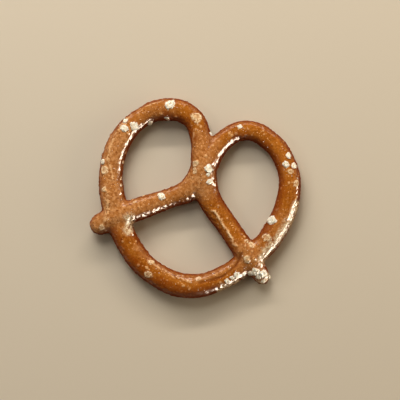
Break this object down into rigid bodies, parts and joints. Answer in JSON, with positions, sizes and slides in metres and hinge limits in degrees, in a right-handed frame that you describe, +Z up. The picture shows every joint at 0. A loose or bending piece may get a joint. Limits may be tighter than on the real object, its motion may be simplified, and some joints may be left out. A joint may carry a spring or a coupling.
{
  "type": "mini pretzel",
  "caption": "Hard-baked mini pretzel twist with coarse salt, lying flat on its underside.",
  "frame": {"origin": "on the surface the pretzel rests on, below the middle of its outline", "axes": "+Z up out of the crust's top, +Y from the bottom of the ring towards the dip between the two lobes, +X towards the right lobe as seen from above"},
  "size_m": [0.0478, 0.0449, 0.0058],
  "materials": {
    "crust": "glossy browned pretzel crust, darker down the sides, with fine blisters",
    "salt": "coarse salt, from white crystals to pale grains half melted into the crust"
  },
  "bodies": {
    "root": {"pretzel": "crust"}
  },
  "joints": []
}
